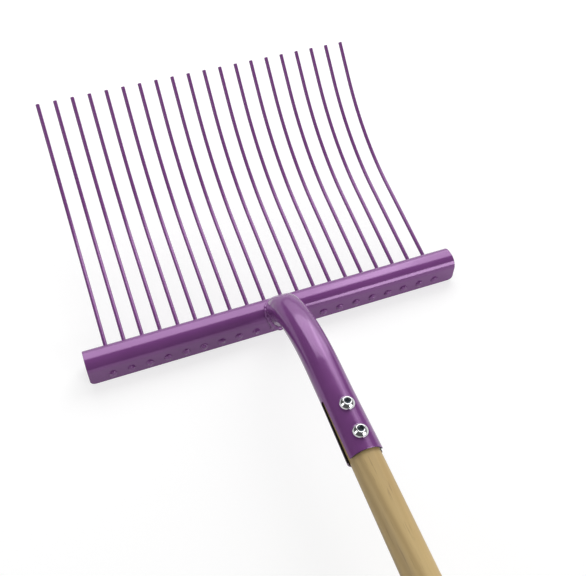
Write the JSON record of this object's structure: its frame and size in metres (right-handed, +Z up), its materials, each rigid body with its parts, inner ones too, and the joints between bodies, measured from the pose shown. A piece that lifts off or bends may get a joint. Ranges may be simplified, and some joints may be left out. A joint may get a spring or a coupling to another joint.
{
  "type": "manure fork",
  "caption": "Long handled fork with a row of bowed round tines through a folded steel header and a bent, split tube socket screwed to a wooden shaft.",
  "frame": {"origin": "bottom centre of the box round the whole fork as it lies on the floor", "axes": "+X along the header, +Y from the handle's butt to the tine tips, +Z up, with the tines bowing upwards"},
  "size_m": [0.4098, 1.604, 0.1363],
  "materials": {
    "paint": "gloss purple paint",
    "wood": "smooth turned hardwood, lightly varnished",
    "chrome": "polished"
  },
  "bodies": {
    "root": {"header_channel": "paint", "neck_socket": "paint", "tine_01": "paint", "tine_02": "paint", "tine_03": "paint", "tine_04": "paint", "tine_05": "paint", "tine_06": "paint", "tine_07": "paint", "tine_08": "paint", "tine_09": "paint", "tine_10": "paint", "tine_11": "paint", "tine_12": "paint", "tine_13": "paint", "tine_14": "paint", "tine_15": "paint", "tine_16": "paint", "tine_17": "paint", "tine_18": "paint", "tine_19": "paint", "tine_20": "paint", "handle_shaft": "wood", "screw_front": "chrome", "screw_rear": "chrome", "nut_front": "chrome", "nut_rear": "chrome"}
  },
  "joints": []
}
